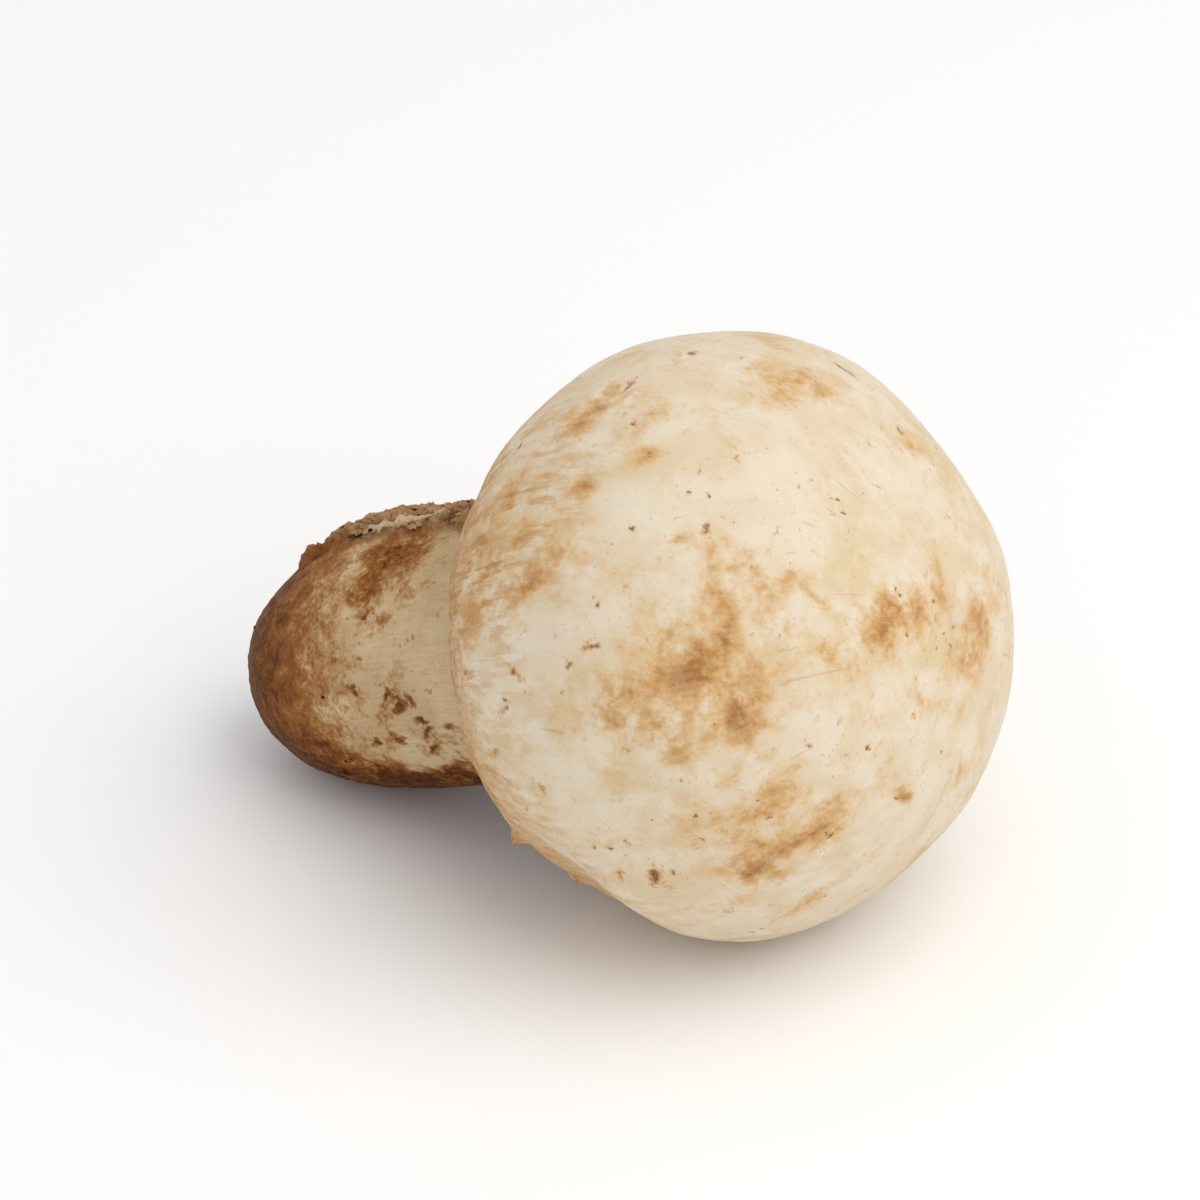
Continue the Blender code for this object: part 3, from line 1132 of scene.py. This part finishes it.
def stained_and_shaded_stem(paint, color, uneven, grainy):
    """The stem's stains, its underside darkened with soil and painted shade, its foot darker
    towards the end, and how dark each place is made.
    """
    stain, under, foot = map(paint.attribute, ("stain", "under", "foot"))
    blotch = paint.centred(paint.noise(0.7, 5.0, 0.65, warp=0.3), 2.6)
    stains_and_shade = paint.weighted((stain, 1.1), (under, 1.35), (uneven, 0.70), (grainy, 0.60),
                            (paint.math("ADD", stain, under), blotch))
    foot_darkening = paint.weighted((foot, 1.40), (uneven, 0.65), (grainy, 0.65))
    soil_and_shade = paint.math("MAXIMUM", stains_and_shade, foot_darkening)
    # Darker tones over the stains, the painted shade under the stem and the foot's end.
    color = paint.cover(color, soil_and_shade, (STEM_TAN, 0.10, 0.60, 0.80),
                        (STEM_ORANGE, 0.40, 0.95, 0.90), (STEM_BROWN, 0.90, 1.45, 0.92),
                        (STEM_DARK, 1.40, 2.00, 0.85))
    return color, soil_and_shade


def crusted_stem(paint, color, mottled, uneven, grainy):
    """The torn crust: papery tan, with pale crests that partly paint a highlight, dark crevices of
    soil and painted shade, and the light fold through it.
    """
    crust, edge, fold, crease = map(paint.attribute, ("crust", "edge", "fold", "crease"))
    hollow = paint.weighted((crease, 1.0), (uneven, 0.16), (grainy, 0.40))
    # Pale on the crests: the crust's paler skin, with a painted highlight.
    shell = paint.cover(CRUST_TAN, hollow, (CRUST_PALE, 0.40, 0.95, 1.0))
    shell = paint.cover(shell, mottled, (STEM_ORANGE, 0.50, 0.64, 0.45))
    # Dark in the crevices between the crests: soil, and painted shade.
    shell = paint.mix(paint.ramp(hollow, 0.20, 0.58, 0.90, 0.0), shell, CRUST_DARK)
    shell = paint.wash(shell, CRUST_DARK, paint.threads(0.80, 0.040, 1.2, 0.40), 0.75)
    shell = paint.wash(shell, CRUST_PALE, paint.threads(0.55, 0.030, 0.9, 0.46), 0.60)
    color = paint.mix(crust, color, shell)
    color = paint.wash(color, STEM_ORANGE, edge, 0.60)
    return paint.cover(color, paint.math("ADD", fold, grainy), (STEM_PALE_SHADED, 0.30, 0.90, 0.85))


def stem_material():
    paint = Paint("stem_skin", 0.04, 0.08)
    grain_place = paint.attribute("grain", "Vector")
    mottled = paint.noise(2.0, 9.0, 0.70, warp=0.4)
    fine = paint.noise(0.42, 5.0, 0.66)
    threads = paint.noise(0.20, 4.0, 0.6, grain_place)
    uneven = paint.centred(mottled, 3.2)
    grainy = paint.centred(fine, 2.0)

    # The stem's base beige, darkened with painted shade.
    color = paint.cover(STEM_BEIGE_SHADED, paint.noise(6.0, 5.0), (STEM_PALE_SHADED, 0.38, 0.62, 1.0))
    color = paint.cover(color, threads, (STEM_TAN, 0.45, 0.72, 0.25))
    color, soil_and_shade = stained_and_shaded_stem(paint, color, uneven, grainy)
    color = crusted_stem(paint, color, mottled, uneven, grainy)
    crowd = paint.ramp(paint.noise(5.0, 2.0), 0.42, 0.58, 0.20, 1.0)
    dots = paint.scaled(paint.specks(paint.pushed(0.5, 0.9), 1.0, 0.08, 0.26, 0.55), crowd)
    color = paint.cover(color, dots, (STEM_ORANGE, 0.0, 0.60, 0.60), (STEM_BROWN, 0.45, 0.85, 0.80))
    bruise = paint.weighted((paint.attribute("mark"), 1.0), (grainy, 0.55))
    bruised = paint.ramp(bruise, 0.45, 1.00, 0.0, 0.85)
    color = paint.cover(color, bruise, (STEM_ORANGE, 0.15, 0.55, 0.75))
    color = paint.mix(bruised, color, STEM_BROWN)

    height = paint.weighted((threads, 0.45), (fine, 0.6), (mottled, 0.6), (bruised, -0.8))
    return paint.finish(color, height, 0.12, paint.ramp(soil_and_shade, 0.1, 1.2, 0.74, 0.60))


def shaded_material(name, base, end, spots, depth):
    """A mottled skin that changes from base to end along each piece's level."""
    paint = Paint(name, 0.05, 0.06)
    mottled = paint.noise(0.9, 5.0, 0.65)
    fine = paint.noise(0.25, 4.0, 0.6)
    level = paint.math("ADD", paint.attribute("level"), paint.centred(mottled, 1.2))
    color = paint.cover(base, level, (end, 0.10, 0.95, 1.0))
    color = paint.cover(color, fine, (spots, 0.56, 0.72, 0.5))
    height = paint.weighted((mottled, 1.0), (fine, 0.6))
    return paint.finish(color, height, depth, paint.ramp(fine, 0.3, 0.7, 0.64, 0.80))


# ---- scene and end

def build_floor():
    """A plain pale floor, large enough to fill every view."""
    signs = ((-1, -1), (1, -1), (1, 1), (-1, 1))
    corners = [(x * FLOOR_HALF, y * FLOOR_HALF, 0.0) for x, y in signs]
    mesh = bpy.data.meshes.new("floor")
    mesh.from_pydata(corners, [], [(0, 1, 2, 3)])
    floor = bpy.data.objects.new("floor", mesh)
    bpy.context.scene.collection.objects.link(floor)
    material = bpy.data.materials.new("floor")
    material.use_nodes = True
    surface = material.node_tree.nodes["Principled BSDF"]
    surface.inputs["Base Color"].default_value = FLOOR_COLOR
    surface.inputs["Roughness"].default_value = 0.9
    surface.inputs["Specular IOR Level"].default_value = 0.1
    mesh.materials.append(material)


def direction(azimuth, elevation):
    """The way from the mushroom to a place seen at an azimuth and an elevation."""
    turn = math.radians(azimuth)
    rise = math.radians(elevation)
    return Vector((math.sin(turn) * math.cos(rise), -math.cos(turn) * math.cos(rise),
                   math.sin(rise)))


def place_facing(name, data, away, distance):
    """Puts a camera or a light at a distance, facing the mushroom."""
    placed = bpy.data.objects.new(name, data)
    placed.location = Vector(CAMERA_AIM) + distance * away
    placed.rotation_euler = away.to_track_quat("Z", "Y").to_euler()
    bpy.context.scene.collection.objects.link(placed)
    return placed


def place_camera():
    lens = bpy.data.cameras.new("camera")
    lens.sensor_width = 36.0
    lens.lens = CAMERA_LENS
    lens.clip_start = 0.01
    away = direction(CAMERA_AZIMUTH, CAMERA_ELEVATION)
    bpy.context.scene.camera = place_facing("camera", lens, away, CAMERA_DISTANCE)


def place_key_light():
    """A square soft box that faces the mushroom."""
    light = bpy.data.lights.new("key", "AREA")
    light.size = KEY_SIZE
    light.energy = KEY_WATTS
    light.color = KEY_COLOR
    place_facing("key", light, direction(KEY_AZIMUTH, KEY_ELEVATION), KEY_DISTANCE)


def set_world():
    world = bpy.data.worlds.new("studio")
    world.use_nodes = True
    background = world.node_tree.nodes["Background"]
    background.inputs["Color"].default_value = (1.0, 1.0, 1.0, 1.0)
    background.inputs["Strength"].default_value = WORLD_STRENGTH
    bpy.context.scene.world = world


def main():
    place_camera()
    build_floor()
    set_world()
    place_key_light()
    bpy.context.scene.view_settings.view_transform = "Standard"

    build_skin("mushroom_cap", *cap_skin()).data.materials.append(cap_material())
    build_skin("mushroom_stem", *stem_skin()).data.materials.append(stem_material())
    for build, name, *look in (
            (build_gills, "gill_flesh", GILL_BROWN, GILL_PINK, GILL_BROWN, 0.04),
            (build_veil, "veil_skin", OCHRE, STEM_BROWN, RIM_BROWN, 0.04),
            (build_flakes, "crust_flesh", CRUST_TAN, CRUST_PALE, CRUST_DARK, 0.06),
            (build_soil, "soil", CRUST_DARK, STEM_DARK, CRUST_TAN, 0.05)):
        build().data.materials.append(shaded_material(name, *look))


main()
